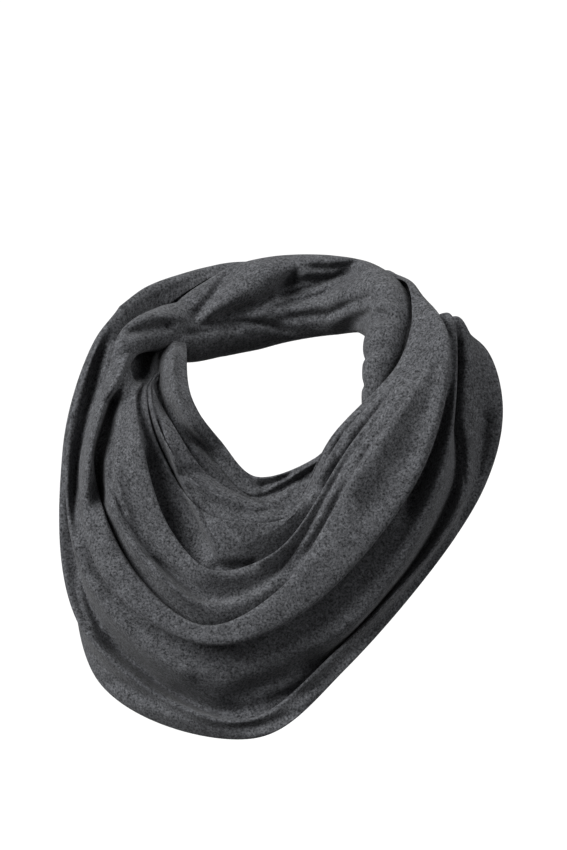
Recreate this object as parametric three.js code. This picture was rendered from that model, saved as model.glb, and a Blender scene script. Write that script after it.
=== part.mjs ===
// Loop scarf in grey marl jersey, wound twice and worn: hollow, with the neck it hangs on left out.
// Millimetres, +Z up, the front towards -Y, the origin on the neck's axis inside the neck opening.
import * as THREE from "three";

const WALL = 1.2;
const JOIN_GAP = 0.3;
const CLOTH_COLOUR = 0x55575c;
const CLOTH_ROUGHNESS = 0.95;

// Heights in the front tables are read along a sight line that looks down by this angle.
const SIGHT_TILT = THREE.MathUtils.degToRad(12);

// Edges of a turn are rolled under: how far the cloth runs back and how thick the roll is.
const TURN_BACK = 9;
const TURN_THICK = 10;
const CLOSED_GROOVE = 1.5;
const PLAIN_EDGE = 3;
// Bends are rounded by averaging along the cloth: length of a step and number of passes.
const ROUND_STEP = 1.5;
const ROUND_PASSES = 28;
const FINE_PER_LINE = 12;
// A turn narrower than the first is bunched and plain; wider than the second, its edges and folds are full.
const BUNCHED = 25;
const SPREAD_OUT = 70;
// A fold dips behind the next crest by no more than this share of the room there.
const POCKET_ROOM = 0.6;
// The body the scarf hangs on, left out, has its axis this far back.
const BODY_AXIS_BACK = 40;

// Upper turn across the front. Places are [across, up] of each crest, neck edge first.
// deep: distance behind the neck axis at the left end, left flank, low point, right breast and right end.
// pocket and gap: how far the fold above dips below this crest and how far behind it lies.
// valley: where the fold lies between its two crests, when it has no pocket (halfway if not stated).
const UPPER_STATIONS = ["top", "flank", "dip", "low", "rise", "breast", "shoulder", "over"];
const UPPER_OPEN = { top: 0.2, flank: 0.85, dip: 1, low: 1, rise: 0.6, breast: 0.2, shoulder: 0, over: 0 };
const UPPER_CRESTS = [
  { crest: "neck rim", top: [-111, 13], flank: [-90, -27], dip: [-65, -63], low: [-29, -86],
    rise: [9, -96], breast: [48, -31], shoulder: [109, 37], over: [120, 101],
    deep: [8, -62, -90, -70, 22], pocket: 0, gap: 0 },
  { crest: "second rim", top: [-114, 11], flank: [-104, -29], dip: [-75, -72], low: [-32, -91],
    rise: [7, -102], breast: [51, -34], shoulder: [113, 38], over: [122, 100],
    deep: [2, -70, -97, -74, 21], pocket: 3, gap: 8 },
  { crest: "flap rim", top: [-118, 8], flank: [-108, -38], dip: [-72, -96], low: [-33, -109],
    rise: [12, -103], breast: [55, -37], shoulder: [116, 39], over: [124, 99],
    deep: [-4, -74, -106, -77, 20], pocket: 5, gap: 12 },
  { crest: "flap foot", top: [-121, 5], flank: [-110, -48], dip: [-71, -104], low: [-51, -142],
    rise: [0, -117], breast: [59, -41], shoulder: [120, 40], over: [126, 97],
    deep: [-8, -76, -112, -80, 18], pocket: 0, gap: -2 },
  { crest: "middle rim", top: [-127, 5], flank: [-122, -38], dip: [-97, -113], low: [-59, -151],
    rise: [-1, -134], breast: [62, -45], shoulder: [125, 41], over: [128, 95],
    deep: [-12, -92, -126, -85, 16], pocket: 12, gap: 28 },
  { crest: "thin band", top: [-135, 9], flank: [-151, -49], dip: [-125, -128], low: [-70, -183],
    rise: [-9, -168], breast: [66, -56], shoulder: [132, 42], over: [130, 93],
    deep: [-10, -86, -131, -91, 14], pocket: 0, gap: 9, valley: 0.75 },
  { crest: "lower rim", top: [-137, 33], flank: [-166, -53], dip: [-130, -151], low: [-66, -201],
    rise: [0, -170], breast: [71, -62], shoulder: [141, 44], over: [133, 90],
    deep: [-4, -76, -141, -97, 12], pocket: 4, gap: 15 },
  { crest: "lower edge", top: [-152, 28], flank: [-178, -63], dip: [-155, -162], low: [-64, -219],
    rise: [20, -192], breast: [128, -66], shoulder: [155, 45], over: [136, 86],
    deep: [0, -56, -146, -88, 8], pocket: 0, gap: -4 },
];
// The upper turn's left end is drawn back into the hollow: shift of its neck side and of its outer side.
const TUCK_NECK = new THREE.Vector3(-2, 4, 2);
const TUCK_OUTER = new THREE.Vector3(4, 3, 8);

// Neck side of the lower turn: the band beside the opening and the rims below it.
const NECK_STATIONS = ["top", "flank", "dip", "low", "rise", "breast", "over"];
const NECK_OPEN = { top: 0.3, flank: 0.6, dip: 0.8, low: 1, rise: 0.7, breast: 0.2, over: 0 };
const NECK_CRESTS = [
  { crest: "opening rim", top: [-85, 54], flank: [-79, 2], dip: [-50, -38], low: [-20, -68],
    rise: [34, -52], breast: [58, -27], over: [72, -11],
    deep: [62, -32, -62, -52, -42], pocket: 0, gap: 0 },
  { crest: "band", top: [-94, 57], flank: [-93, 4], dip: [-66, -36], low: [-26, -83],
    rise: [25, -61], breast: [58, -36], over: [74, -18],
    deep: [58, -38, -70, -56, -46], pocket: 0, gap: 4 },
  { crest: "third rim", top: [-105.4, 51.9], flank: [-98, -5], dip: [-69, -50], low: [-14, -94],
    rise: [18, -77], breast: [58, -50], over: [77, -27],
    deep: [60.8, -36, -75, -60, -48], pocket: 0, gap: 6 },
  { crest: "hidden edge", top: [-117, 41], flank: [-104, -26], dip: [-79, -90], low: [-30, -136],
    rise: [20, -117], breast: [65, -72], over: [85, -41],
    deep: [38, -22, -74, -58, -46], pocket: 0, gap: 3 },
];

// Lower turn across the front, from its hidden upper edge to the hem.
const LOWER_STATIONS = ["top", "flank", "dip", "low", "rise", "breast", "shoulder", "over"];
const LOWER_OPEN = { top: 0.2, flank: 0.4, dip: 0.8, low: 1, rise: 1, breast: 0.9, shoulder: 0.5, over: 0.2 };
const LOWER_CRESTS = [
  { crest: "hidden edge", top: [-112, 27], flank: [-158, -36], dip: [-142, -162], low: [-57, -194],
    rise: [20, -167], breast: [110, -63], shoulder: [141, 34], over: [138, 72],
    deep: [64, -34, -105, -62, 4], pocket: 0, gap: 0 },
  { crest: "upper fold", top: [-160, 54], flank: [-189, -36], dip: [-171, -158], low: [-70, -245],
    rise: [47, -216], breast: [135, -99], shoulder: [159, 0], over: [154, 78],
    deep: [33, -20, -122, -72, 2], pocket: 0, gap: -3 },
  { crest: "hem fold", top: [-166, 52], flank: [-194, -45], dip: [-175, -203], low: [-36, -287],
    rise: [50, -228], breast: [165, -90], shoulder: [166, -9], over: [162, 75],
    deep: [30, 12, -128, -50, 16], pocket: 2, gap: 16 },
  { crest: "hem", top: [-156, 27], flank: [-178, -63], dip: [-160, -255], low: [-19, -303],
    rise: [63, -240], breast: [185, -81], shoulder: [203, -2], over: [182, 50],
    deep: [11, 42, -124, -22, 38], pocket: 0, gap: 5 },
];
// The lower turn's right end is tucked under the upper turn: [x, y, z] of each crest.
const LOWER_TUCK = [
  [127, 14, 62],
  [130, 19, 57],
  [132, 25, 50],
  [134, 31, 42],
];

// Outer turn round the nape. Each crest's distance from the neck axis and its height, by bearing in degrees.
const OUTER_BEARINGS = [41, 65, 90, 114, 134, 150, 164];
const OUTER_CRESTS = [
  { crest: "inner edge", out: [127, 125, 125, 119, 120, 131, 138], up: [98, 97, 97, 98, 85, 66, 54], pocket: 0, gap: 0 },
  { crest: "top fold", out: [133, 131, 131, 124, 123, 132, 143], up: [102, 101, 101, 103, 94, 84, 71], pocket: 0, gap: -1 },
  { crest: "back fold", out: [141, 139, 139, 132, 131, 139, 149], up: [97, 96, 97, 99, 96, 90, 79], pocket: 0, gap: 2 },
  { crest: "middle fold", out: [148, 148, 149, 146, 144, 147, 153], up: [70, 68, 68, 70, 73, 74, 70], pocket: 0, gap: 6 },
  { crest: "lower edge", out: [142, 142, 142, 141, 141, 144, 151], up: [42, 40, 38, 40, 46, 52, 56], pocket: 0, gap: 5 },
];
// Half of the gap at a join, as a bearing at the turn's own distance out.
const JOIN_NUDGE = THREE.MathUtils.radToDeg(JOIN_GAP / 2 / OUTER_CRESTS[0].out[0]);

// Roll round the nape: places of its centre line [across, up], how far back, and its half height.
const ROLL_STATIONS = [
  { at: [-147, 20], back: -8, half: 8 },
  { at: [-133, 52], back: 11, half: 14 },
  { at: [-105, 63], back: 42, half: 17 },
  { at: [-83, 60], back: 62, half: 25 },
  { at: [-57, 71], back: 77, half: 33 },
  { at: [-25, 85], back: 88, half: 40 },
  { at: [6, 92], back: 91, half: 39 },
  { at: [47, 95], back: 83, half: 36 },
  { at: [79.8, 91.8], back: 60.6, half: 32 },
  { at: [102, 70], back: 24, half: 31 },
  { at: [97, 44], back: -8, half: 28 },
  { at: [90, 17], back: -27, half: 19 },
  { at: [84, -8], back: -38, half: 11 },
];
const ROLL_FLATNESS = 0.72;
const ROLL_LAP = 30;
const ROLL_LAP_IN = 5;
// Grooves have their full depth where the roll is at least this thick.
const ROLL_DEEP_HALF = 26;
// Grooves of the twisted roll: path of [share of its length, angle from its top towards the neck].
const ROLL_GROOVES = [
  { groove: "under the lip", path: [[0.1, 45], [0.17, 62], [0.23, 75]], depth: 5, width: 16 },
  { groove: "panel", path: [[0.25, 64], [0.33, 82], [0.48, 110], [0.61, 108], [0.67, 92], [0.74, 26]], depth: 8, width: 14 },
  { groove: "panel foot", path: [[0.2, 100], [0.32, 108], [0.4, 128]], depth: 5, width: 14 },
  { groove: "wide fold foot", path: [[0.28, 54], [0.42, 66], [0.51, 51], [0.56, 28]], depth: 8, width: 13 },
  { groove: "gather", path: [[0.44, 82], [0.54, 78], [0.61, 58], [0.68, 18]], depth: 7, width: 12 },
  { groove: "lower fold", path: [[0.55, 150], [0.73, 126], [0.81, 30]], depth: 7, width: 15 },
  { groove: "outer side", path: [[0, 300], [1, 250]], depth: 4, width: 18 },
];
const GROOVE_FADE = 0.04;
// Grooves round the roll where it bends down beside the opening leave rounded knobs between them.
const KNOB_GROOVES = [0.79, 0.85, 0.91, 0.97];
const KNOB_GROOVE_DEPTH = 5;
const KNOB_GROOVE_WIDTH = 0.016;
const KNOB_FACING = 40;

const ROWS_PER_STATION = 4;
const BOTH_ROLLED = [1, 1];
const FIRST_ROLLED = [1, 0];
const LAST_ROLLED = [0, 1];

// A place read in the front view, set at a distance back, in the part's own frame.
function place(seen, back) {
  const height = (seen[1] - back * Math.sin(SIGHT_TILT)) / Math.cos(SIGHT_TILT);
  return new THREE.Vector3(seen[0], back, height);
}

function mix(a, b, share) {
  return a.clone().lerp(b, share);
}

// Depths at every station from the five that are stated.
function depths(deep, stations) {
  const [leftEnd, left, low, right, rightEnd] = deep;
  const at = {
    end: leftEnd,
    top: leftEnd + (left - leftEnd) * 0.35,
    flank: left,
    dip: left + (low - left) * 0.6,
    low,
    rise: low + (right - low) * 0.25,
    breast: right,
    shoulder: right + (rightEnd - right) * 0.4,
    over: rightEnd,
  };
  return stations.map((name) => at[name]);
}

function crestPoints(row, stations) {
  const back = depths(row.deep, stations);
  return stations.map((name, i) => place(row[name], back[i]));
}

// An edge line: rolled under where the turn is spread out, plain where it is bunched.
function edgeLine(edge, next, inward, rolled) {
  const run = next.clone().sub(edge).normalize();
  const plain = edge.clone().addScaledVector(run, -PLAIN_EDGE);
  const under = edge.clone().addScaledVector(inward, TURN_THICK).addScaledVector(run, TURN_BACK);
  return mix(plain, under, rolled);
}

// Lines across a turn at one station: the edges, the crests and the fold between each pair.
function sectionLines(crests, open, rows, inward, rolls) {
  const lines = [];
  const last = crests.length - 1;
  const spread = smoothStep(BUNCHED, SPREAD_OUT, crests[0].distanceTo(crests[last]));
  lines.push(edgeLine(crests[0], crests[1], inward, rolls[0] * spread));
  crests.forEach((crest, i) => {
    if (i > 0) {
      const row = rows[i];
      const run = crest.clone().sub(crests[i - 1]).normalize();
      const middle = mix(crests[i - 1], crest, 0.5);
      const closed = middle.clone().addScaledVector(inward, Math.sign(row.gap) * CLOSED_GROOVE * spread);
      const room = i < last ? crest.distanceTo(crests[i + 1]) : row.pocket;
      const foot = row.pocket > 0 ? crest : mix(crests[i - 1], crest, row.valley ?? 0.5);
      const drop = Math.min(row.pocket, POCKET_ROOM * room);
      const pocket = foot.clone().addScaledVector(run, drop).addScaledVector(inward, row.gap);
      lines.push(mix(closed, pocket, open));
    }
    lines.push(crest.clone());
  });
  lines.push(edgeLine(crests[last], crests[last - 1], inward, rolls[1] * spread));
  return lines;
}

// Direction into the body at each station, square to the turn's run and to its width.
function inwardAt(crestLists, station) {
  const middle = (s) => crestLists.reduce((sum, c) => sum.add(c[s]), new THREE.Vector3()).divideScalar(crestLists.length);
  const count = crestLists[0].length;
  const travel = middle(Math.min(station + 1, count - 1)).sub(middle(Math.max(station - 1, 0)));
  const width = crestLists[crestLists.length - 1][station].clone().sub(crestLists[0][station]);
  const inward = width.cross(travel).normalize();
  const here = middle(station);
  const towards = new THREE.Vector3(-here.x, BODY_AXIS_BACK - here.y, 0);
  return inward.dot(towards) < 0 ? inward.negate() : inward;
}

// A section through its lines with every bend rounded, sampled so many times from each line to the next.
function roundedSection(lines, columnsPerLine) {
  const curve = new THREE.CatmullRomCurve3(lines, false, "centripetal");
  const spans = lines.length - 1;
  const fineCount = spans * FINE_PER_LINE;
  const fine = [];
  const lengths = [0];
  for (let i = 0; i <= fineCount; i += 1) {
    fine.push(curve.getPoint(i / fineCount));
    if (i > 0) lengths.push(lengths[i - 1] + fine[i].distanceTo(fine[i - 1]));
  }
  const total = lengths[fineCount];
  const steps = Math.max(spans * 2, Math.round(total / ROUND_STEP));
  let even = [];
  const shares = [];
  let k = 0;
  for (let i = 0; i <= steps; i += 1) {
    const want = (total * i) / steps;
    while (k < fineCount - 1 && lengths[k + 1] < want) k += 1;
    const part = Math.min(1, (want - lengths[k]) / Math.max(lengths[k + 1] - lengths[k], 1e-9));
    even.push(mix(fine[k], fine[k + 1], part));
    shares.push((k + part) / fineCount);
  }
  for (let pass = 0; pass < ROUND_PASSES; pass += 1) {
    even = even.map((p, i) => (i === 0 || i === steps ? p : mix(mix(even[i - 1], even[i + 1], 0.5), p, 0.5)));
  }
  const section = [];
  let j = 0;
  for (let i = 0; i <= spans * columnsPerLine; i += 1) {
    const want = i / (spans * columnsPerLine);
    while (j < steps - 1 && shares[j + 1] < want) j += 1;
    const part = Math.min(1, Math.max(0, (want - shares[j]) / Math.max(shares[j + 1] - shares[j], 1e-9)));
    section.push(mix(even[j], even[j + 1], part));
  }
  return section;
}

// Smooth grid through the lines of every station: rows run along the turn, columns across it.
function gridThrough(stationLines, rowsPerStation, columnsPerLine) {
  const rowCount = (stationLines.length - 1) * rowsPerStation;
  const lineCount = stationLines[0].length;
  const curves = [];
  for (let k = 0; k < lineCount; k += 1) {
    curves.push(new THREE.CatmullRomCurve3(stationLines.map((s) => s[k]), false, "centripetal"));
  }
  const grid = [];
  for (let i = 0; i <= rowCount; i += 1) {
    grid.push(roundedSection(curves.map((c) => c.getPoint(i / rowCount)), columnsPerLine));
  }
  return grid;
}

// Closed wall of even thickness about a grid. A facing given for an end keeps that end flat for a join.
function wallOf(grid, firstFacing, lastFacing) {
  const rows = grid.length;
  const columns = grid[0].length;
  const points = [];
  const sides = [1, -1];
  sides.forEach((side) => {
    for (let i = 0; i < rows; i += 1) {
      for (let j = 0; j < columns; j += 1) {
        const alongRow = grid[Math.min(i + 1, rows - 1)][j].clone().sub(grid[Math.max(i - 1, 0)][j]);
        const across = grid[i][Math.min(j + 1, columns - 1)].clone().sub(grid[i][Math.max(j - 1, 0)]);
        const normal = alongRow.cross(across);
        const facing = i === 0 ? firstFacing : i === rows - 1 ? lastFacing : null;
        if (facing) normal.addScaledVector(facing, -normal.dot(facing));
        normal.normalize();
        const p = grid[i][j].clone().addScaledVector(normal, (side * WALL) / 2);
        points.push(p.x, p.y, p.z);
      }
    }
  });
  const at = (side, i, j) => side * rows * columns + i * columns + j;
  const index = [];
  const quad = (a, b, c, d) => index.push(a, b, c, a, c, d);
  for (let i = 0; i < rows - 1; i += 1) {
    for (let j = 0; j < columns - 1; j += 1) {
      quad(at(0, i, j), at(0, i + 1, j), at(0, i + 1, j + 1), at(0, i, j + 1));
      quad(at(1, i, j), at(1, i, j + 1), at(1, i + 1, j + 1), at(1, i + 1, j));
    }
  }
  for (let i = 0; i < rows - 1; i += 1) {
    quad(at(0, i, 0), at(1, i, 0), at(1, i + 1, 0), at(0, i + 1, 0));
    quad(at(0, i, columns - 1), at(0, i + 1, columns - 1), at(1, i + 1, columns - 1), at(1, i, columns - 1));
  }
  for (let j = 0; j < columns - 1; j += 1) {
    quad(at(0, 0, j), at(0, 0, j + 1), at(1, 0, j + 1), at(1, 0, j));
    quad(at(0, rows - 1, j), at(1, rows - 1, j), at(1, rows - 1, j + 1), at(0, rows - 1, j + 1));
  }
  const geometry = new THREE.BufferGeometry();
  geometry.setAttribute("position", new THREE.Float32BufferAttribute(points, 3));
  geometry.setIndex(index);
  geometry.computeVertexNormals();
  return geometry;
}


function bearingFacing(degrees) {
  const bearing = THREE.MathUtils.degToRad(degrees);
  return new THREE.Vector3(-Math.sin(bearing), Math.cos(bearing), 0);
}

// Crest places at one bearing of the outer nape turn.
function outerCrests(station, nudge) {
  const bearing = THREE.MathUtils.degToRad(OUTER_BEARINGS[station] + nudge);
  return OUTER_CRESTS.map((row) => new THREE.Vector3(
    Math.cos(bearing) * row.out[station],
    Math.sin(bearing) * row.out[station],
    row.up[station],
  ));
}

function outerLines(station, nudge) {
  const crests = outerCrests(station, nudge);
  const bearing = THREE.MathUtils.degToRad(OUTER_BEARINGS[station] + nudge);
  const inward = new THREE.Vector3(-Math.cos(bearing), -Math.sin(bearing), 0);
  return sectionLines(crests, 1, OUTER_CRESTS, inward, LAST_ROLLED);
}

// The same section curve, given as another number of lines.
function sampleLines(lines, count) {
  const curve = new THREE.CatmullRomCurve3(lines, false, "centripetal");
  const sampled = [];
  for (let k = 0; k < count; k += 1) sampled.push(curve.getPoint(k / (count - 1)));
  return sampled;
}

function upperGrid() {
  const crests = UPPER_CRESTS.map((row) => crestPoints(row, UPPER_STATIONS));
  const stations = UPPER_STATIONS.map((name, s) =>
    sectionLines(crests.map((c) => c[s]), UPPER_OPEN[name], UPPER_CRESTS, inwardAt(crests, s), BOTH_ROLLED));
  const lineCount = stations[0].length;
  const tuck = stations[0].map((p, k) => p.clone().add(mix(TUCK_NECK, TUCK_OUTER, k / (lineCount - 1))));
  const seam = sampleLines(outerLines(0, -JOIN_NUDGE), lineCount);
  return gridThrough([tuck, ...stations, seam], ROWS_PER_STATION, 2);
}

function neckGrid() {
  const crests = NECK_CRESTS.map((row) => crestPoints(row, NECK_STATIONS));
  const stations = NECK_STATIONS.map((name, s) =>
    sectionLines(crests.map((c) => c[s]), NECK_OPEN[name], NECK_CRESTS, inwardAt(crests, s), FIRST_ROLLED));
  return gridThrough(stations, ROWS_PER_STATION, 2);
}

function lowerGrid() {
  const crests = LOWER_CRESTS.map((row) => crestPoints(row, LOWER_STATIONS));
  const tucked = LOWER_TUCK.map((p) => new THREE.Vector3(...p));
  const withTuck = crests.map((c, i) => [...c, tucked[i]]);
  const opens = [...LOWER_STATIONS.map((name) => LOWER_OPEN[name]), 0];
  const stations = opens.map((open, s) =>
    sectionLines(withTuck.map((c) => c[s]), open, LOWER_CRESTS, inwardAt(withTuck, s), LAST_ROLLED));
  const leftEnd = sampleLines(outerLines(OUTER_BEARINGS.length - 1, JOIN_NUDGE), stations[0].length);
  return gridThrough([leftEnd, ...stations], ROWS_PER_STATION, 2);
}

function outerGrid() {
  const last = OUTER_BEARINGS.length - 1;
  const nudges = OUTER_BEARINGS.map((b, s) => (s === 0 ? JOIN_NUDGE : s === last ? -JOIN_NUDGE : 0));
  const stations = nudges.map((nudge, s) => outerLines(s, nudge));
  return gridThrough(stations, ROWS_PER_STATION, 2);
}

function smoothStep(from, to, value) {
  const t = Math.min(1, Math.max(0, (value - from) / (to - from)));
  return t * t * (3 - 2 * t);
}

// Angle of a groove at a share of the roll's length.
function grooveAngle(path, share) {
  for (let i = 1; i < path.length; i += 1) {
    const [from, fromAngle] = path[i - 1];
    const [to, toAngle] = path[i];
    if (share <= to || i === path.length - 1) return fromAngle + ((toAngle - fromAngle) * (share - from)) / (to - from);
  }
  return path[0][1];
}

// How far the roll's surface stands in from its plain oval at a share of its length and an angle.
function rollGroove(share, angle) {
  let depth = 0;
  ROLL_GROOVES.forEach((g) => {
    const begin = g.path[0][0];
    const end = g.path[g.path.length - 1][0];
    const fade = smoothStep(begin - GROOVE_FADE, begin, share) * (1 - smoothStep(end, end + GROOVE_FADE, share));
    const off = ((angle - grooveAngle(g.path, share) + 540) % 360) - 180;
    depth += fade * g.depth * Math.exp(-((off / g.width) ** 2));
  });
  const facing = Math.max(0, Math.cos(THREE.MathUtils.degToRad(angle - KNOB_FACING)));
  KNOB_GROOVES.forEach((at) => {
    depth += facing * KNOB_GROOVE_DEPTH * Math.exp(-(((share - at) / KNOB_GROOVE_WIDTH) ** 2));
  });
  return depth;
}

function rollGrid(rowCount, columnCount) {
  const centre = new THREE.CatmullRomCurve3(ROLL_STATIONS.map((s) => place(s.at, s.back)), false, "centripetal");
  const half = new THREE.CatmullRomCurve3(ROLL_STATIONS.map((s, i) => new THREE.Vector3(i, s.half, 0)), false, "centripetal");
  const up = new THREE.Vector3(0, 0, 1);
  const lapEnd = ROLL_LAP / (360 + ROLL_LAP);
  const grid = [];
  for (let i = 0; i <= rowCount; i += 1) {
    const share = i / rowCount;
    const middle = centre.getPoint(share);
    const tangent = centre.getTangent(share);
    const rise = up.clone().addScaledVector(tangent, -up.dot(tangent)).normalize();
    const neckward = tangent.clone().cross(rise);
    const row = [];
    for (let j = 0; j <= columnCount; j += 1) {
      const turn = j / columnCount;
      const angle = 195 + turn * (360 + ROLL_LAP);
      const radians = THREE.MathUtils.degToRad(angle);
      const lapIn = ROLL_LAP_IN * (1 - smoothStep(lapEnd, 3 * lapEnd, turn));
      const full = half.getPoint(share).y;
      const size = full - rollGroove(share, angle % 360) * Math.min(1, full / ROLL_DEEP_HALF) - lapIn;
      row.push(middle.clone()
        .addScaledVector(rise, size * Math.cos(radians))
        .addScaledVector(neckward, size * ROLL_FLATNESS * Math.sin(radians)));
    }
    grid.push(row);
  }
  return grid;
}

const scarf = new THREE.Group();

function addStretch(name, grid, firstFacing, lastFacing) {
  const cloth = new THREE.MeshStandardMaterial({ color: CLOTH_COLOUR, roughness: CLOTH_ROUGHNESS, metalness: 0 });
  const mesh = new THREE.Mesh(wallOf(grid, firstFacing, lastFacing), cloth);
  mesh.name = name;
  scarf.add(mesh);
}

const seamFacing = bearingFacing(OUTER_BEARINGS[0]);
const leftFacing = bearingFacing(OUTER_BEARINGS[OUTER_BEARINGS.length - 1]);
addStretch("upper_turn_front", upperGrid(), null, seamFacing);
addStretch("lower_turn_front", lowerGrid(), leftFacing, null);
addStretch("lower_turn_neck_side", neckGrid());
addStretch("nape_outer_turn", outerGrid(), seamFacing, leftFacing);
addStretch("nape_roll", rollGrid(36, 28));

export default scarf;
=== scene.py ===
import math

import bpy
import numpy as np
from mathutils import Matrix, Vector


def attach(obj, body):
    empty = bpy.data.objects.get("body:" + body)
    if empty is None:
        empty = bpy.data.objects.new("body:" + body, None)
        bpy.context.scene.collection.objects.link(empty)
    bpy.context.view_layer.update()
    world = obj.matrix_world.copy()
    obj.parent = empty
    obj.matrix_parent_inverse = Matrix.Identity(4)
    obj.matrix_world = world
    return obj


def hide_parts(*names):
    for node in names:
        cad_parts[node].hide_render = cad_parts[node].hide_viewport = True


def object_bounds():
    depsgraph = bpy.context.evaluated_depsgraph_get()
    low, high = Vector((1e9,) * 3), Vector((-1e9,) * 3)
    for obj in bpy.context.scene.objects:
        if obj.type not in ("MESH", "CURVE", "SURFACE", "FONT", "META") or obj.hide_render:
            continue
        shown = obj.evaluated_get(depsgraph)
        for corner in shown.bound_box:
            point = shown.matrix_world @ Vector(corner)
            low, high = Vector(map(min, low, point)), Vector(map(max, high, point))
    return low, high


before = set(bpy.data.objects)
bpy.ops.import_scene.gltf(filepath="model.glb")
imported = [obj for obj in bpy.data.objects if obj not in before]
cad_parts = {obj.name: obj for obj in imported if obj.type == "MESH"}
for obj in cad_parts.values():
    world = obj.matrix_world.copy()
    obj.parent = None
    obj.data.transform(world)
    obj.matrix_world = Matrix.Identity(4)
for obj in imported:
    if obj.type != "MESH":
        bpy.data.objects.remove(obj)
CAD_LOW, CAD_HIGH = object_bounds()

# Sizes are in millimetres until a mesh is made. +Z is up, the front is towards -Y.
MM = 0.001
WALL = 1.2
JOIN_GAP = 0.3
TINY = 1e-9
NEAR_POINT = 1e-4
FULL_TURN = 360

# The photo looks slightly down. The line of sight runs from the scarf to the camera.
SIGHT_TILT = math.radians(12)
SIGHT = np.array([0, -math.cos(SIGHT_TILT), math.sin(SIGHT_TILT)])

# An edge that rolls under turns back this far, this thick. A plain edge runs a little past its crest.
TURN_BACK = 9
TURN_THICK = 10
PLAIN_EDGE = 3
# Section widths below which edges lie plain, and above which they roll fully.
BUNCHED = 25
SPREAD_OUT = 70
# Depth of a groove that is closed, and the share of the room to the next crest that a pocket may take.
CLOSED_GROOVE = 1.5
POCKET_ROOM = 0.6
# Pockets open towards this axis of the body.
BODY_AXIS_BACK = 40
# Sections are cut into even steps and smoothed this often.
ROUND_STEP = 1.0
ROUND_PASSES = 9
LEAST_STEPS_PER_LINE = 2
FINE_PER_LINE = 16
ROWS_PER_STATION = 32
COLUMNS_PER_LINE = 9
WIDE_COLUMNS_PER_LINE = 2 * COLUMNS_PER_LINE

# A crest's depth is given at the left end, left, low, right and right end.
# The stations between these take the shares below.
TOP_SHARE = 0.35
DIP_SHARE = 0.6
RISE_SHARE = 0.25
SHOULDER_SHARE = 0.4

# Each crest has [across, up] in the front view at each station, from the neck outwards.
# Before a crest the cloth dips: pocket is how far the dip runs on under the crest, and gap is how far it lies
# towards the body. A dip without a pocket lies at a share of the way to the crest, its valley.
# The dips are open by a share at each station.
MIDWAY = 0.5
UPPER_STATIONS = ["top", "flank", "dip", "low", "rise", "breast", "shoulder", "over"]
UPPER_OPEN = [0.2, 0.85, 1, 1, 0.6, 0.2, 0, 0]
UPPER_CRESTS = [
    dict(crest="neck rim",
         at=[(-111, 13), (-90, -27), (-65, -63), (-29, -86), (9, -96), (48, -31), (109, 37),
             (120, 101)],
         deep=(8, -62, -90, -70, 22), pocket=0, gap=0),
    dict(crest="second rim",
         at=[(-114, 11), (-104, -29), (-75, -72), (-32, -91), (7, -102), (51, -34), (113, 38),
             (122, 100)],
         deep=(2, -70, -97, -74, 21), pocket=6, gap=11),
    dict(crest="flap rim",
         at=[(-118, 8), (-108, -38), (-72, -96), (-33, -109), (12, -103), (55, -37), (116, 39),
             (124, 99)],
         deep=(-4, -74, -106, -77, 20), pocket=9, gap=14),
    dict(crest="flap foot",
         at=[(-121, 5), (-110, -48), (-71, -104), (-51, -142), (0, -117), (59, -41), (120, 40),
             (126, 97)],
         deep=(-8, -76, -112, -80, 18), pocket=0, gap=-2),
    dict(crest="middle rim",
         at=[(-127, 5), (-122, -38), (-97, -113), (-59, -151), (-1, -134), (62, -45), (125, 41),
             (128, 95)],
         deep=(-12, -92, -126, -85, 16), pocket=20, gap=36),
    dict(crest="thin band",
         at=[(-135, 9), (-151, -49), (-125, -128), (-70, -183), (-9, -168), (66, -56), (132, 42),
             (130, 93)],
         deep=(-10, -86, -131, -91, 14), pocket=0, gap=12, valley=0.75),
    dict(crest="lower rim",
         at=[(-137, 33), (-166, -53), (-130, -151), (-66, -201), (0, -170), (71, -62), (141, 44),
             (133, 90)],
         deep=(-4, -76, -141, -97, 12), pocket=10, gap=26),
    dict(crest="lower edge",
         at=[(-152, 28), (-178, -63), (-155, -162), (-64, -219), (20, -192), (128, -66), (155, 45),
             (136, 86)],
         deep=(0, -56, -146, -88, 8), pocket=0, gap=-4),
]
# The upper turn's left end is tucked in by this much at its neck edge and at its outer edge.
TUCK_NECK = np.array([6.0, 30.0, 8.0])
TUCK_OUTER = np.array([4.0, 3.0, 8.0])

NECK_STATIONS = ["top", "flank", "dip", "low", "rise", "breast", "over"]
NECK_OPEN = [0.3, 0.6, 0.8, 1, 0.7, 0.2, 0]
NECK_CRESTS = [
    dict(crest="opening rim",
         at=[(-85, 54), (-79, 2), (-50, -38), (-20, -68), (34, -52), (58, -27), (72, -11)],
         deep=(62, -32, -62, -52, -42), pocket=0, gap=0),
    dict(crest="band",
         at=[(-94, 57), (-93, 4), (-66, -36), (-26, -83), (25, -61), (58, -36), (74, -18)],
         deep=(58, -38, -70, -56, -46), pocket=0, gap=1.5),
    dict(crest="third rim",
         at=[(-105.4, 51.9), (-98, -5), (-69, -50), (-14, -94), (18, -77), (58, -50), (77, -27)],
         deep=(60.8, -36, -75, -60, -48), pocket=0, gap=6),
    dict(crest="hidden edge",
         at=[(-116, 42), (-104, -26), (-79, -90), (-30, -136), (20, -117), (65, -72), (85, -41)],
         deep=(62, -22, -74, -58, -46), pocket=0, gap=3),
]

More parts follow.
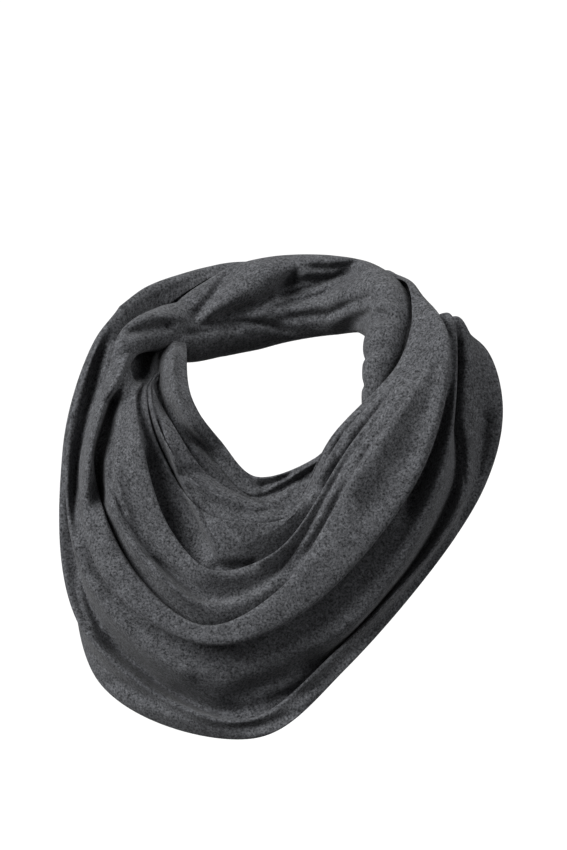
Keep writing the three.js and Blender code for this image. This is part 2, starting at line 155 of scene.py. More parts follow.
LOWER_STATIONS = ["top", "flank", "dip", "low", "rise", "breast", "shoulder", "over"]
LOWER_OPEN = [0.2, 0.4, 0.8, 1, 1, 0.9, 0.5, 0.2, 0]
LOWER_CRESTS = [
    dict(crest="hidden edge",
         at=[(-100, 46), (-150, -30), (-142, -162), (-57, -194), (20, -167), (110, -63), (141, 34),
             (138, 72)],
         deep=(84, -34, -105, -62, 4), pocket=0, gap=0),
    dict(crest="upper fold",
         at=[(-160, 54), (-189, -36), (-171, -158), (-70, -245), (47, -216), (135, -99), (159, 0),
             (154, 78)],
         deep=(33, -20, -122, -72, 2), pocket=0, gap=-3),
    dict(crest="hem fold",
         at=[(-166, 52), (-194, -45), (-175, -203), (-36, -287), (50, -228), (165, -90), (166, -9),
             (162, 75)],
         deep=(30, 12, -128, -50, 16), pocket=4, gap=22),
    dict(crest="hem",
         at=[(-156, 27), (-178, -63), (-160, -255), (-19, -303), (63, -240), (185, -81), (203, -2),
             (182, 50)],
         deep=(11, 42, -124, -22, 38), pocket=0, gap=5),
]
# The lower turn's right end lies under the upper turn: one [x, y, z] for each crest.
LOWER_TUCK = np.array([[127, 14, 62], [130, 19, 57], [132, 25, 50], [134, 31, 42]], float)

# Outer turn behind the neck: distance from the axis and height of each crest at each bearing.
OUTER_BEARINGS = [41, 65, 90, 114, 134, 150, 164]
OUTER_CRESTS = [
    dict(crest="inner edge",
         out=(127, 125, 125, 119, 120, 131, 138), up=(98, 97, 97, 98, 85, 66, 54), pocket=0, gap=0),
    dict(crest="top fold",
         out=(133, 131, 131, 124, 123, 132, 143), up=(102, 101, 101, 103, 94, 84, 71), pocket=0, gap=-1),
    dict(crest="back fold",
         out=(141, 139, 139, 132, 131, 139, 149), up=(97, 96, 97, 99, 96, 90, 79), pocket=0, gap=2),
    dict(crest="middle fold",
         out=(148, 148, 149, 146, 144, 147, 153), up=(70, 68, 68, 70, 73, 74, 70), pocket=0, gap=6),
    dict(crest="lower edge",
         out=(142, 142, 142, 141, 141, 144, 151), up=(42, 40, 38, 40, 46, 52, 56), pocket=0, gap=5),
]
JOIN_NUDGE = math.degrees(JOIN_GAP / 2 / OUTER_CRESTS[0]["out"][0])

# Roll round the nape: centre line [across, up], distance back and half height.
ROLL_STATIONS = [
    ((-147, 20), -8, 8),
    ((-133, 52), 11, 14),
    ((-105, 64), 42, 20),
    ((-83, 63), 62, 29),
    ((-57, 73), 77, 35),
    ((-25, 85), 88, 40),
    ((6, 92), 91, 39),
    ((47, 95), 83, 36),
    ((79.8, 91.8), 60.6, 32),
    ((102, 70), 24, 31),
    ((97, 44), -8, 28),
    ((90, 17), -27, 19),
    ((84, -8), -38, 11),
]
ROLL_FLATNESS = 0.72
# The roll's cloth starts at this angle from its top, and laps over itself by some degrees.
ROLL_START_ANGLE = 195
ROLL_LAP = 30
ROLL_LAP_IN = 5
LAP_FADES_OVER = 3
# Grooves are full where the roll's half height is at least this.
ROLL_DEEP_HALF = 26
# Groove along the outer side: its angle at each end of the roll, depth, and width in degrees.
SIDE_GROOVE = dict(starts=300, ends=250, depth=4, width=18)
# Grooves across the knob at the right end, at shares of the roll's length, deepest at one angle.
KNOB_GROOVES = [0.8, 0.87, 0.94]
KNOB_GROOVE_DEPTH = 4.5
KNOB_GROOVE_WIDTH = 0.014
KNOB_FACING = 40
ROLL_ROWS = 260
ROLL_COLUMNS = 170

# Creases traced on the photo: the stretches each lies on, its lift towards the viewer, its width, and
# its path as [across, up] in the front view. One with a reach is a lap, whose lift is on the left of its path.
CREASES = [
    dict(on="upper lower", crease="left pocket", lift=-28, width=8.1,
         path=[(-144, 11), (-148, -4), (-152, -27), (-157, -54), (-159, -81), (-162, -108)]),
    dict(on="upper", crease="second fold", lift=7, width=7.2,
         path=[(-139, 31), (-148, 14), (-156, -9), (-163, -32), (-169, -58), (-173, -86),
               (-172, -106)]),
    dict(on="upper lower", crease="outer groove", lift=-15, width=5.4,
         path=[(-144, 70), (-156, 50), (-162, 32), (-167, 9), (-172, -9), (-176, -32), (-180, -54),
               (-183, -90), (-181, -115), (-183, -137)]),
    dict(on="upper", crease="thin band groove", lift=-9, width=3.1,
         path=[(-145, -14), (-148, -50), (-148, -76), (-138, -106), (-115, -140), (-88, -160),
               (-48, -184)]),
    dict(on="upper", crease="thin band crest", lift=10, width=4.0,
         path=[(-148, -36), (-155, -54), (-154, -76), (-147, -99), (-129, -129), (-106, -156),
               (-79, -177), (-57, -189)]),
    dict(on="upper", crease="middle panel", lift=4, width=9.0,
         path=[(-133, -22), (-135, -63), (-128, -94), (-112, -122), (-94, -140), (-79, -146)]),
    dict(on="upper lower neck", crease="dark valley", lift=-5, width=10.8,
         path=[(-115, -27), (-106, -63), (-95, -94), (-81, -122), (-68, -140)]),
    dict(on="upper", crease="apex fold", lift=6, width=6.3,
         path=[(-120, 6), (-111, -9), (-102, -36), (-95, -54), (-90, -68)]),
    dict(on="upper neck", crease="groove beside the band", lift=-9, width=4.5,
         path=[(-115, 14), (-102, -4), (-90, -21), (-75, -36), (-61, -47), (-41, -68)]),
    dict(on="upper lower neck", crease="valley beside the flap", lift=-17, width=2.7, reach=36,
         path=[(-49, -149), (-59, -130), (-66, -117), (-72, -104), (-81, -86), (-90, -68),
               (-99, -40), (-110, -4)]),
    dict(on="upper", crease="first rim", lift=4, width=4.5,
         path=[(-90, -68), (-75, -72), (-61, -78), (-48, -85), (-30, -91), (-14, -97), (0, -103)]),
    dict(on="upper", crease="over the first rim", lift=-5, width=4.5,
         path=[(-84, -59), (-66, -68), (-48, -76), (-29, -85)]),
    dict(on="upper", crease="second rim", lift=3.5, width=3.6,
         path=[(-72, -97), (-57, -102), (-34, -109), (-21, -108), (6, -103), (18, -99)]),
    dict(on="upper", crease="over the second rim", lift=-4, width=3.6,
         path=[(-72, -90), (-52, -95), (-34, -102), (-18, -102), (2, -97)]),
    dict(on="upper", crease="under the flap", lift=-7, width=4.5,
         path=[(-63, -147), (-48, -150), (-30, -149), (-14, -144)]),
    dict(on="upper", crease="beside the flap", lift=-5, width=4.5,
         path=[(40, -45), (34, -63), (27, -81), (20, -94)]),
    dict(on="upper", crease="short nick", lift=-4, width=3.6,
         path=[(60, -32), (54, -43), (49, -54)]),
    dict(on="upper", crease="valley over the lower rim", lift=-7, width=8.1,
         path=[(60, -68), (56, -90), (47, -112), (29, -135), (11, -148), (-9, -167)]),
    dict(on="upper", crease="crest beside it", lift=4, width=7.2,
         path=[(72, -36), (70, -61), (60, -87), (45, -115), (24, -146), (2, -167)]),
    dict(on="upper", crease="broad face hollow", lift=-4, width=11.7,
         path=[(137, 50), (131, 4), (114, -45), (87, -90), (60, -130)]),
    dict(on="upper", crease="broad face swell", lift=3, width=10.8,
         path=[(117, 25), (103, -18), (81, -63), (67, -94)]),
    dict(on="upper", crease="outer face hollow", lift=-2, width=6.3,
         path=[(146, 54), (142, 9), (128, -36), (108, -76)]),
    dict(on="upper", crease="lower face hollow", lift=-2.5, width=6.3,
         path=[(-133, -158), (-111, -187), (-79, -207), (-48, -209), (-16, -196)]),
    dict(on="lower", crease="left fold crest", lift=6, width=5.4,
         path=[(-185, 7), (-190, -18), (-191, -45), (-190, -72), (-187, -101)]),
    dict(on="lower", crease="upper crest", lift=6, width=9.9,
         path=[(155, -27), (150, -54), (141, -81), (132, -108), (123, -130), (110, -158),
               (103, -176), (92, -186), (60, -207), (20, -225)]),
    dict(on="lower", crease="long trough", lift=-6, width=8.1,
         path=[(146, -126), (132, -148), (114, -171), (96, -189), (74, -207), (38, -230),
               (2, -248)]),
    dict(on="lower", crease="deep trough", lift=-9, width=9.0,
         path=[(47, -225), (20, -238), (-7, -252), (-25, -259), (-52, -274)]),
    dict(on="lower", crease="left streak", lift=5, width=8.1,
         path=[(-124, -216), (-106, -230), (-88, -241), (-70, -252)]),
    dict(on="lower", crease="left trough", lift=-9, width=7.2,
         path=[(-163, -213), (-151, -219), (-138, -230), (-124, -238), (-111, -252), (-97, -261),
               (-79, -267), (-50, -274)]),
    dict(on="lower", crease="thin edge", lift=-5, width=2.7, reach=14,
         path=[(162, -18), (164, -45), (166, -72), (165, -90), (161, -108), (157, -130),
               (152, -148)]),
    dict(on="lower", crease="right trough", lift=-6, width=7.2,
         path=[(188, 0), (184, -36), (180, -54), (173, -81)]),
    dict(on="lower", crease="bottom band rim", lift=4, width=4.5,
         path=[(-88, -274), (-70, -283), (-57, -287), (-39, -288), (-21, -286), (6, -279),
               (20, -274), (45, -258)]),
    dict(on="lower", crease="bottom band groove", lift=-4, width=5.4,
         path=[(-79, -269), (-52, -277), (-30, -276), (-3, -267), (20, -261), (42, -248)]),
    dict(on="lower", crease="hem rim", lift=9, width=8.1,
         path=[(-160, -256), (-124, -274), (-88, -285), (-52, -295), (-21, -299), (11, -292),
               (38, -274)]),
    dict(on="lower", crease="small crease", lift=-3, width=3.6,
         path=[(22, -276), (31, -272), (40, -266)]),
    dict(on="lower", crease="left edge line", lift=4, width=3.6,
         path=[(-179, -153), (-177, -171), (-173, -187), (-167, -202), (-163, -212)]),
    dict(on="neck", crease="band crest", lift=5, width=7.2,
         path=[(-94, 56), (-98, 36), (-94, 14), (-87, -4), (-75, -22), (-57, -43)]),
    dict(on="neck", crease="band groove", lift=-8, width=4.5,
         path=[(-100, 56), (-106, 40), (-106, 22), (-103, 7), (-95, -7), (-85, -22)]),
    dict(on="upper neck", crease="hollow at the throat", lift=-21, width=16.2,
         path=[(-84, -18), (-61, -43), (-43, -65), (-23, -81), (0, -83), (24, -70), (42, -54)]),
    dict(on="neck", crease="top goes under the roll", lift=-14, width=9.9,
         path=[(-126, 54), (-102, 54), (-79, 54), (-61, 54)]),
    dict(on="upper lower neck", crease="dark hollow", lift=-25, width=10.8,
         path=[(-108, 58), (-115, 45), (-119, 29), (-124, 9)]),
    dict(on="neck", crease="first rim", lift=4, width=3.6,
         path=[(-29, -86), (-7, -78), (11, -70), (24, -61), (36, -54)]),
    dict(on="neck", crease="groove between rims", lift=-5, width=3.6,
         path=[(-21, -81), (-2, -75), (16, -67)]),
    dict(on="neck", crease="second rim", lift=3, width=3.6,
         path=[(-14, -94), (2, -87), (13, -81)]),
    dict(on="lower", crease="under the upper turn", lift=-16, width=8.1,
         path=[(155, 68), (158, 45), (156, 22), (150, -3), (146, -21), (137, -48), (126, -75),
               (117, -97), (105, -115)]),
    dict(on="upper", crease="edge over the shoulder", lift=4, width=5.4,
         path=[(147, 72), (151, 45), (148, 20), (143, -4), (132, -40), (120, -72), (112, -94)]),
    dict(on="roll", crease="left groove", lift=-10, width=5.4,
         path=[(-37, 121), (-47, 111), (-60, 92), (-70, 81), (-83, 71)]),
    dict(on="roll", crease="big fold", lift=10, width=12.6,
         path=[(16, 130), (-9, 117), (-27, 104), (-44, 92), (-61, 80), (-77, 71)]),
    dict(on="roll", crease="foot of the big fold", lift=-11, width=5.4,
         path=[(25, 124), (13, 111), (0, 99), (-20, 86), (-50, 76), (-74, 68)]),
    dict(on="roll", crease="first gather", lift=-10, width=4.0,
         path=[(20, 121), (47, 119), (63, 122), (81, 129)]),
    dict(on="roll", crease="second gather", lift=-10, width=4.0,
         path=[(2, 105), (29, 109), (49, 112), (81, 124)]),
    dict(on="roll", crease="third gather", lift=-10, width=4.0,
         path=[(-14, 88), (20, 99), (40, 106), (58, 112), (79, 120)]),
    dict(on="roll", crease="fourth gather", lift=-10, width=4.0,
         path=[(-14, 80), (20, 90), (40, 95), (54, 104), (67, 111), (83, 117)]),
    dict(on="roll", crease="gathered hollow", lift=-13, width=12.6,
         path=[(-3, 90), (13, 99), (31, 104), (56, 111), (85, 121)]),
    dict(on="roll", crease="broad fold", lift=5, width=9.9,
         path=[(43, 83), (60, 94), (78, 103), (114, 99)]),
    dict(on="roll", crease="over the lower fold", lift=-6, width=4.5,
         path=[(-9, 73), (20, 76), (47, 78), (62, 85), (79, 90), (97, 92)]),
    dict(on="roll", crease="lower fold", lift=5, width=5.4,
         path=[(36, 65), (56, 74), (69, 82), (83, 86), (96, 86), (110, 79), (122, 68)]),
    dict(on="roll", crease="under the lower fold", lift=-7, width=5.4,
         path=[(47, 58), (67, 68), (79, 76), (92, 77), (104, 69)]),
    dict(on="roll", crease="panel line", lift=-7, width=3.6,
         path=[(-79, 67), (-59, 68), (-33, 71), (-12, 69), (0, 66), (22, 57)]),
    dict(on="roll", crease="panel crease", lift=-4, width=3.6,
         path=[(-95, 58), (-70, 61), (-52, 64), (-25, 66)]),
    dict(on="roll", crease="lip", lift=5, width=4.5,
         path=[(-148, 69), (-124, 74), (-111, 76), (-97, 76), (-88, 75), (-76, 70)]),
    dict(on="roll", crease="under the lip", lift=-8, width=4.5,
         path=[(-144, 58), (-124, 62), (-108, 65), (-92, 67)]),
]
# Share of a path over which each end fades, and how hollow a lap's lower side is.
END_FADE = 0.22
LAP_HOLLOW = 0.6


def place(seen, back):
    """Point that the front view shows at [across, up], at a distance back."""
    height = (seen[1] - back * math.sin(SIGHT_TILT)) / math.cos(SIGHT_TILT)
    return np.array([seen[0], back, height], float)


def front_view(points):
    """[across, up] of points as the front view shows them."""
    up = points[:, 2] * math.cos(SIGHT_TILT) + points[:, 1] * math.sin(SIGHT_TILT)
    return np.stack([points[:, 0], up], 1)


def unit(vector):
    return vector / max(np.linalg.norm(vector), TINY)


def smooth_step(low, high, value):
    share = np.clip((value - low) / (high - low), 0, 1)
    return share * share * (3 - 2 * share)


def root_gap(start, end):
    """Square root of the distance between points, which paces a centripetal curve."""
    return np.sqrt(np.linalg.norm(end - start, axis=1))[:, None]


def catmull(points, shares):
    """Centripetal curve through the points, at shares of its run."""
    known = np.asarray(points, float)
    last = len(known) - 1
    run = np.clip(np.asarray(shares, float), 0, 1) * last
    span = np.minimum(run.astype(int), last - 1)
    part = (run - span)[:, None]
    longer = np.vstack([2 * known[0] - known[1], known, 2 * known[-1] - known[-2]])
    before, start, end, after = (longer[span + offset] for offset in range(4))
    gap = root_gap(start, end)
    gap = np.where(gap < NEAR_POINT, 1, gap)
    gap_before = root_gap(before, start)
    gap_before = np.where(gap_before < NEAR_POINT, gap, gap_before)
    gap_after = root_gap(end, after)
    gap_after = np.where(gap_after < NEAR_POINT, gap, gap_after)
    leave = (start - before) / gap_before - (end - before) / (gap_before + gap) + (end - start) / gap
    arrive = (end - start) / gap - (after - start) / (gap + gap_after) + (after - end) / gap_after
    leave = leave * gap
    arrive = arrive * gap
    square = 3 * (end - start) - 2 * leave - arrive
    cube = 2 * (start - end) + leave + arrive
    return start + leave * part + square * part**2 + cube * part**3


def depths(deep, stations):
    """Depth of a crest at each of the named stations."""
    left_end, left, low, right, right_end = deep
    at = dict(
        top=left_end + (left - left_end) * TOP_SHARE,
        flank=left,
        dip=left + (low - left) * DIP_SHARE,
        low=low,
        rise=low + (right - low) * RISE_SHARE,
        breast=right,
        shoulder=right + (right_end - right) * SHOULDER_SHARE,
        over=right_end,
    )
    return [at[name] for name in stations]


def crest_points(rows, stations):
    """Points of every crest at every station."""
    return np.array([
        [place(seen, back) for seen, back in zip(row["at"], depths(row["deep"], stations))]
        for row in rows
    ])


def edge_line(edge, beside, inward, rolled):
    """Point past an edge crest, between a plain edge and one that rolls under."""
    run = unit(beside - edge)
    plain = edge - run * PLAIN_EDGE
    under = edge + inward * TURN_THICK + run * TURN_BACK
    return plain + (under - plain) * rolled


def section_lines(crests, opened, rows, inward, rolls):
    """Points across the cloth at one station: an edge, crests with a pocket before each, and an edge."""
    last = len(crests) - 1
    spread = float(smooth_step(BUNCHED, SPREAD_OUT, np.linalg.norm(crests[0] - crests[last])))
    lines = [edge_line(crests[0], crests[1], inward, rolls[0] * spread)]
    for i, crest in enumerate(crests):
        if i > 0:
            row = rows[i]
            before = crests[i - 1]
            run = unit(crest - before)
            closed = (before + crest) / 2 + inward * np.sign(row["gap"]) * CLOSED_GROOVE * spread
            room = np.linalg.norm(crests[i + 1] - crest) if i < last else row["pocket"]
            valley = before + (crest - before) * row.get("valley", MIDWAY)
            foot = crest if row["pocket"] > 0 else valley
            drop = min(row["pocket"], POCKET_ROOM * room)
            pocket = foot + run * drop + inward * row["gap"]
            lines.append(closed + (pocket - closed) * opened)
        lines.append(np.array(crest))
    lines.append(edge_line(crests[last], crests[last - 1], inward, rolls[1] * spread))
    return np.array(lines)


def inward_at(crests, station):
    """Direction square to the cloth at a station, towards the body."""
    middle = crests.mean(0)
    count = len(middle)
    travel = middle[min(station + 1, count - 1)] - middle[max(station - 1, 0)]
    width = crests[-1, station] - crests[0, station]
    inward = unit(np.cross(width, travel))
    here = middle[station]
    towards = np.array([-here[0], BODY_AXIS_BACK - here[1], 0])
    return -inward if inward @ towards < 0 else inward


def all_sections(crests, opened, rows, rolls):
    return [
        section_lines(crests[:, s], opened[s], rows, inward_at(crests, s), rolls)
        for s in range(crests.shape[1])
    ]


def rounded_section(lines, columns_per_line):
    """Smooth curve across the cloth through the points of a section."""
    spans = len(lines) - 1
    fine_shares = np.linspace(0, 1, spans * FINE_PER_LINE + 1)
    fine = catmull(lines, fine_shares)
    run = np.concatenate([[0], np.cumsum(np.linalg.norm(np.diff(fine, axis=0), axis=1))])
    steps = max(spans * LEAST_STEPS_PER_LINE, round(run[-1] / ROUND_STEP))
    want = np.linspace(0, run[-1], steps + 1)
    even = np.stack([np.interp(want, run, fine[:, axis]) for axis in range(3)], 1)
    shares = np.interp(want, run, fine_shares)
    for _ in range(ROUND_PASSES):
        even[1:-1] = (even[:-2] + even[2:]) / 4 + even[1:-1] / 2
    wanted = np.linspace(0, 1, spans * columns_per_line + 1)
    return np.stack([np.interp(wanted, shares, even[:, axis]) for axis in range(3)], 1)


def grid_through(stations, columns_per_line):
    """Grid of points along and across the cloth, through the sections at its stations."""
    stations = np.asarray(stations)
    shares = np.linspace(0, 1, (len(stations) - 1) * ROWS_PER_STATION + 1)
    lines = np.stack([catmull(stations[:, k], shares) for k in range(stations.shape[1])], 1)
    return np.stack([rounded_section(row, columns_per_line) for row in lines])


def outer_lines(station, nudge):
    """Section of the outer turn at a bearing, nudged by some degrees."""
    bearing = math.radians(OUTER_BEARINGS[station] + nudge)
    out = np.array([math.cos(bearing), math.sin(bearing), 0])
    crests = np.array([
        out * row["out"][station] + np.array([0, 0, row["up"][station]])
        for row in OUTER_CRESTS
    ])
    return section_lines(crests, 1, OUTER_CRESTS, -out, (0, 1))


def sample_lines(lines, count):
    return catmull(lines, np.linspace(0, 1, count))


def upper_grid():
    crests = crest_points(UPPER_CRESTS, UPPER_STATIONS)
    stations = all_sections(crests, UPPER_OPEN, UPPER_CRESTS, (1, 1))
    count = len(stations[0])
    share = np.linspace(0, 1, count)[:, None]
    tuck = stations[0] + TUCK_NECK * (1 - share) + TUCK_OUTER * share
    seam = sample_lines(outer_lines(0, -JOIN_NUDGE), count)
    return grid_through([tuck, *stations, seam], COLUMNS_PER_LINE)


def neck_grid():
    crests = crest_points(NECK_CRESTS, NECK_STATIONS)
    stations = all_sections(crests, NECK_OPEN, NECK_CRESTS, (1, 0))
    return grid_through(stations, WIDE_COLUMNS_PER_LINE)


def lower_grid():
    crests = np.concatenate([crest_points(LOWER_CRESTS, LOWER_STATIONS), LOWER_TUCK[:, None]], 1)
    stations = all_sections(crests, LOWER_OPEN, LOWER_CRESTS, (0, 1))
    left_end = sample_lines(outer_lines(len(OUTER_BEARINGS) - 1, JOIN_NUDGE), len(stations[0]))
    return grid_through([left_end, *stations], WIDE_COLUMNS_PER_LINE)


def outer_grid():
    last = len(OUTER_BEARINGS) - 1
    nudges = [JOIN_NUDGE] + [0] * (last - 1) + [-JOIN_NUDGE]
    stations = [outer_lines(station, nudge) for station, nudge in enumerate(nudges)]
    return grid_through(stations, WIDE_COLUMNS_PER_LINE)


def roll_groove(share, angle):
    """Depth of the roll's grooves at a share of its length and an angle from its top."""
    bottom = SIDE_GROOVE["starts"] + (SIDE_GROOVE["ends"] - SIDE_GROOVE["starts"]) * share
    off = (angle - bottom + 1.5 * FULL_TURN) % FULL_TURN - FULL_TURN / 2
    depth = SIDE_GROOVE["depth"] * np.exp(-((off / SIDE_GROOVE["width"]) ** 2))
    facing = np.maximum(0, np.cos(np.radians(angle - KNOB_FACING)))
    for at in KNOB_GROOVES:
        depth += facing * KNOB_GROOVE_DEPTH * np.exp(-(((share - at) / KNOB_GROOVE_WIDTH) ** 2))
    return depth


def roll_grid():
    centres = np.array([place(at, back) for at, back, _ in ROLL_STATIONS])
    halves = np.array([[i, half, 0] for i, (_, _, half) in enumerate(ROLL_STATIONS)], float)
    shares = np.linspace(0, 1, ROLL_ROWS + 1)
    middle = catmull(centres, shares)
    half = catmull(halves, shares)[:, 1]
    tangent = np.gradient(middle, axis=0)
    tangent /= np.linalg.norm(tangent, axis=1, keepdims=True)
    up = np.array([0, 0, 1.0])
    rise = up - tangent * (tangent @ up)[:, None]
    rise /= np.linalg.norm(rise, axis=1, keepdims=True)
    neckward = np.cross(tangent, rise)
    turn = np.linspace(0, 1, ROLL_COLUMNS + 1)[None, :]
    angle = np.repeat(ROLL_START_ANGLE + turn * (FULL_TURN + ROLL_LAP), ROLL_ROWS + 1, 0)
    lap_end = ROLL_LAP / (FULL_TURN + ROLL_LAP)
    lap_in = ROLL_LAP_IN * (1 - smooth_step(lap_end, LAP_FADES_OVER * lap_end, turn))
    full = half[:, None]
    grooves = roll_groove(shares[:, None], angle % FULL_TURN) * np.minimum(1, full / ROLL_DEEP_HALF)
    size = full - grooves - lap_in
    upwards = size * np.cos(np.radians(angle))
    inwards = size * ROLL_FLATNESS * np.sin(np.radians(angle))
    return middle[:, None] + rise[:, None] * upwards[..., None] + neckward[:, None] * inwards[..., None]


def normals_of(grid):
    along = np.gradient(grid, axis=0)
    across = np.gradient(grid, axis=1)
    normal = np.cross(along, across)
    return normal / np.maximum(np.linalg.norm(normal, axis=2, keepdims=True), TINY)


def along_path(points, path):
    """Each point's distance from a path, its side of it, and its share of the way along it."""
    best = np.full(len(points), np.inf)
    side = np.zeros(len(points))
    share = np.zeros(len(points))
    path = np.asarray(path, float)
    spans = len(path) - 1
    for i in range(spans):
        start = path[i]
        step = path[i + 1] - start
        part = np.clip(((points - start) @ step) / (step @ step), 0, 1)
        off = points - start - part[:, None] * step
        distance = np.hypot(off[:, 0], off[:, 1])
        nearer = distance < best
        best[nearer] = distance[nearer]
        side[nearer] = np.sign(step[0] * off[nearer, 1] - step[1] * off[nearer, 0])
        share[nearer] = (i + part[nearer]) / spans
    return best, side, share


def creased(grid, name):
    """The grid with its creases pressed in or lifted along the line of sight from the front."""
    points = grid.reshape(-1, 3)
    seen = front_view(points)
    lift = np.zeros(len(points))
    for row in CREASES:
        if name not in row["on"].split():
            continue
        distance, side, share = along_path(seen, row["path"])
        ends = smooth_step(0, END_FADE, share) * (1 - smooth_step(1 - END_FADE, 1, share))
        across = np.exp(-((distance / row["width"]) ** 2))
        if "reach" in row:
            beyond = distance * side
            step = smooth_step(-row["width"], row["width"], beyond)
            raised = step * np.exp(-np.maximum(beyond, 0) / row["reach"])
            across = raised - LAP_HOLLOW * (1 - step) * across
        lift += row["lift"] * across * ends
    return (points + SIGHT * lift[:, None]).reshape(grid.shape)


def run_along(grid, axis):
    """Length of cloth from the grid's first edge to each point, along one axis."""
    steps = np.linalg.norm(np.diff(grid, axis=axis), axis=2)
    first = np.zeros_like(grid[:1, :, 0] if axis == 0 else grid[:, :1, 0])
    return np.concatenate([first, np.cumsum(steps, axis)], axis)


def wall_of(name, grid, material):
    """Closed wall about a grid, with the cloth's own run and width in millimetres as its UV map."""
    rows, columns = grid.shape[:2]
    half_wall = normals_of(grid) * WALL / 2
    outside = (grid + half_wall).reshape(-1, 3)
    inside = (grid - half_wall).reshape(-1, 3)
    points = np.concatenate([outside, inside]) * MM
    index = np.arange(rows * columns).reshape(rows, columns)
    corners = (index[:-1, :-1], index[1:, :-1], index[1:, 1:], index[:-1, 1:])
    front = np.stack(corners, -1).reshape(-1, 4)
    to_inside = rows * columns
    back = front[:, [0, 3, 2, 1]] + to_inside

    def rim(line, flip):
        strip = np.stack([line[:-1], line[:-1] + to_inside, line[1:] + to_inside, line[1:]], -1)
        return strip[:, ::-1] if flip else strip

    sides = [rim(index[:, 0], False), rim(index[:, -1], True), rim(index[0], True), rim(index[-1], False)]
    faces = np.concatenate([front, back, *sides])
    mesh = bpy.data.meshes.new(name)
    mesh.from_pydata(points.tolist(), [], faces.tolist())
    uv = np.stack([np.tile(run_along(grid, 0).ravel(), 2), np.tile(run_along(grid, 1).ravel(), 2)], 1)
    layer = mesh.uv_layers.new(name="cloth")
    layer.data.foreach_set("uv", uv[faces.ravel()].ravel())
    mesh.polygons.foreach_set("use_smooth", np.ones(len(faces), bool))
    mesh.materials.append(material)
    mesh.update()
    piece = bpy.data.objects.new(name, mesh)
    bpy.context.collection.objects.link(piece)
    return piece


# Jersey: how its surface takes light, and its layers of noise with their grain in millimetres.
CLOTH_SURFACE = {
    "Roughness": 0.95,
    "Specular IOR Level": 0.15,
    "Sheen Weight": 0.05,
    "Sheen Roughness": 0.6,
}
SPECK = dict(grain=2.0, detail=3, rough=0.75, ends=(0.33, 0.69))
STREAK = dict(grain=9.0, detail=2, rough=0.6, ends=(0.35, 0.65))
CLOUD = dict(grain=45.0, detail=2, rough=0.5, ends=(0.3, 0.7))
DARK_FIBRE = (0.004, 0.0042, 0.0048)
LIGHT_FIBRE = (0.118, 0.121, 0.129)
STREAK_SHARE = 0.5
STREAK_DARK = (0.6, 0.6, 0.61)
STREAK_LIGHT = (1.3, 1.3, 1.31)
CLOUD_SHARE = 0.4
CLOUD_DARK = (0.8, 0.8, 0.82)
CLOUD_LIGHT = (1.2, 1.2, 1.19)
BUMP_STRENGTH = 0.35
BUMP_METRES = 0.0006
# The mix node's colour sockets, which share their names with its number sockets.
MIX_FIRST = 6
MIX_SECOND = 7
MIX_RESULT = 2


def jersey():
    """Marl jersey: a fine speck of light and dark fibres, with faint streaks and clouds."""
    material = bpy.data.materials.new("grey_marl_jersey")
    material.use_nodes = True
    nodes = material.node_tree.nodes
    links = material.node_tree.links
    shader = nodes["Principled BSDF"]
    for socket, value in CLOTH_SURFACE.items():
        shader.inputs[socket].default_value = value
    cloth = nodes.new("ShaderNodeTexCoord")

    def noise(grain, detail, rough, ends):
        grains = nodes.new("ShaderNodeTexNoise")
        grains.inputs["Scale"].default_value = 1 / (grain * MM)
        grains.inputs["Detail"].default_value = detail
        grains.inputs["Roughness"].default_value = rough
        links.new(cloth.outputs["Object"], grains.inputs["Vector"])
        ramp = nodes.new("ShaderNodeMapRange")
        ramp.inputs["From Min"].default_value = ends[0]
        ramp.inputs["From Max"].default_value = ends[1]
        links.new(grains.outputs["Fac"], ramp.inputs["Value"])
        return ramp.outputs["Result"]

    def mix(kind, factor, first, second):
        mixer = nodes.new("ShaderNodeMix")
        mixer.data_type = "RGBA"
        mixer.blend_type = kind
        if isinstance(factor, float):
            mixer.inputs["Factor"].default_value = factor
        else:
            links.new(factor, mixer.inputs["Factor"])
        for socket, value in ((MIX_FIRST, first), (MIX_SECOND, second)):
            if isinstance(value, tuple):
                mixer.inputs[socket].default_value = (*value, 1)
            else:
                links.new(value, mixer.inputs[socket])
        return mixer.outputs[MIX_RESULT]

    speck = noise(**SPECK)
    base = mix("MIX", speck, DARK_FIBRE, LIGHT_FIBRE)
    streaks = mix("MIX", noise(**STREAK), STREAK_DARK, STREAK_LIGHT)
    clouds = mix("MIX", noise(**CLOUD), CLOUD_DARK, CLOUD_LIGHT)
    streaked = mix("MULTIPLY", STREAK_SHARE, base, streaks)
    clouded = mix("MULTIPLY", CLOUD_SHARE, streaked, clouds)
    links.new(clouded, shader.inputs["Base Color"])
    bump = nodes.new("ShaderNodeBump")
    bump.inputs["Strength"].default_value = BUMP_STRENGTH
    bump.inputs["Distance"].default_value = BUMP_METRES
    links.new(speck, bump.inputs["Height"])
    links.new(bump.outputs["Normal"], shader.inputs["Normal"])
    return material


# Stretches of the one loop, each in place of a node of the part. Flat sizes are in metres.
STRETCHES = [
    dict(node="upper_turn_front", grid=upper_grid, creases="upper", flat=(0.14, 0.66),
         held="draped", rests_on=["lower_turn_front"]),
    dict(node="lower_turn_front", grid=lower_grid, creases="lower", flat=(0.12, 0.91),
         held="draped", rests_on=["nape_outer_turn"]),
    dict(node="lower_turn_neck_side", grid=neck_grid, creases="neck", flat=(0.068, 0.32),
         held="draped", rests_on=["lower_turn_front"]),
    dict(node="nape_outer_turn", grid=outer_grid, creases="outer", flat=(0.085, 0.295),
         held="draped", rests_on=["nape_roll"]),
    dict(node="nape_roll", grid=roll_grid, creases="roll", flat=(0.155, 0.43),
         held="gathered", rests_on=["upper_turn_front"]),
]
cloth_material = jersey()
for row in STRETCHES:
    piece = wall_of(row["node"] + "_cloth", creased(row["grid"](), row["creases"]), cloth_material)
    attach(piece, "root")
    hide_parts(row["node"])

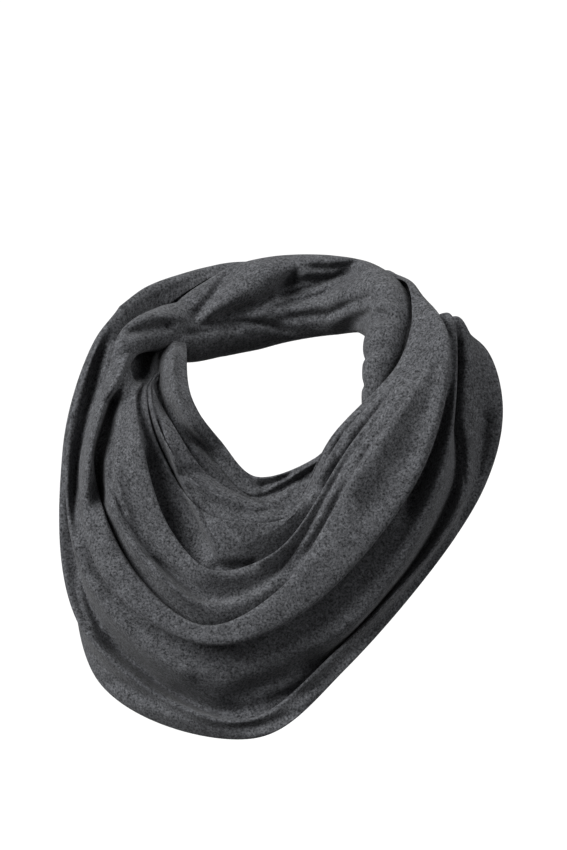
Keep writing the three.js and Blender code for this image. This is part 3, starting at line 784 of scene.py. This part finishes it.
# The floor lies far below, in metres, and doesn't light the scarf from underneath.
FLOOR_BELOW = 1.5
FLOOR_WIDE = 80
FLOOR_COLOUR = (0.72, 0.72, 0.72, 1)
bpy.ops.mesh.primitive_plane_add(size=FLOOR_WIDE, location=(0, 0, CAD_LOW[2] - FLOOR_BELOW))
floor = bpy.context.object
floor.name = "floor"
pale = bpy.data.materials.new("pale_floor")
pale.use_nodes = True
pale_shader = pale.node_tree.nodes["Principled BSDF"]
pale_shader.inputs["Base Color"].default_value = FLOOR_COLOUR
pale_shader.inputs["Roughness"].default_value = 1
pale_shader.inputs["Specular IOR Level"].default_value = 0
floor.data.materials.append(pale)
floor.visible_diffuse = False

# The sky is dim below and brighter above: strengths between two heights of the direction looked in.
SKY_HEIGHTS = (-0.5, 0.8)
SKY_STRENGTHS = (0.05, 0.26)
world = bpy.data.worlds.new("studio")
bpy.context.scene.world = world
world.use_nodes = True
sky_nodes = world.node_tree.nodes
sky_links = world.node_tree.links
sky = sky_nodes["Background"]
sky.inputs["Color"].default_value = (1, 1, 1, 1)
looking = sky_nodes.new("ShaderNodeTexCoord")
split = sky_nodes.new("ShaderNodeSeparateXYZ")
fade = sky_nodes.new("ShaderNodeMapRange")
fade.inputs["From Min"].default_value = SKY_HEIGHTS[0]
fade.inputs["From Max"].default_value = SKY_HEIGHTS[1]
fade.inputs["To Min"].default_value = SKY_STRENGTHS[0]
fade.inputs["To Max"].default_value = SKY_STRENGTHS[1]
sky_links.new(looking.outputs["Generated"], split.inputs[0])
sky_links.new(split.outputs["Z"], fade.inputs["Value"])
sky_links.new(fade.outputs["Result"], sky.inputs["Strength"])

# Soft lights: where each comes from, its strength and how wide it is in degrees.
LIGHTS = [
    dict(light="key_left", comes_from=(-0.7, -0.46, 0.62), strength=5.4, wide=40),
    dict(light="fill_right", comes_from=(0.9, -0.12, 0.5), strength=1.7, wide=35),
]
for row in LIGHTS:
    lamp = bpy.data.objects.new(row["light"], bpy.data.lights.new(row["light"], "SUN"))
    lamp.data.energy = row["strength"]
    lamp.data.angle = math.radians(row["wide"])
    lamp.rotation_euler = Vector(row["comes_from"]).to_track_quat("Z", "Y").to_euler()
    bpy.context.collection.objects.link(lamp)

# Camera at the photo's angle, in metres, aimed at the point in the middle of the photo.
CAMERA_AWAY = 12.0
SEES_TO = 200
SENSOR_WIDE = 36
SEEN_PER_PIXEL = 0.0009
PHOTO_HIGH = 850
AIM_ACROSS = 0.005
AIM_UP = -0.0225
aim = Vector((AIM_ACROSS, 0, AIM_UP / math.cos(SIGHT_TILT)))
towards_camera = Vector(SIGHT)
camera = bpy.data.objects.new("camera", bpy.data.cameras.new("camera"))
camera.location = aim + towards_camera * CAMERA_AWAY
camera.rotation_euler = (-towards_camera).to_track_quat("-Z", "Y").to_euler()
camera.data.sensor_width = SENSOR_WIDE
camera.data.lens = SENSOR_WIDE * CAMERA_AWAY / (PHOTO_HIGH * SEEN_PER_PIXEL)
camera.data.clip_end = SEES_TO
bpy.context.collection.objects.link(camera)
bpy.context.scene.camera = camera
bpy.context.scene.view_settings.view_transform = "Standard"
bpy.context.scene.view_settings.look = "None"
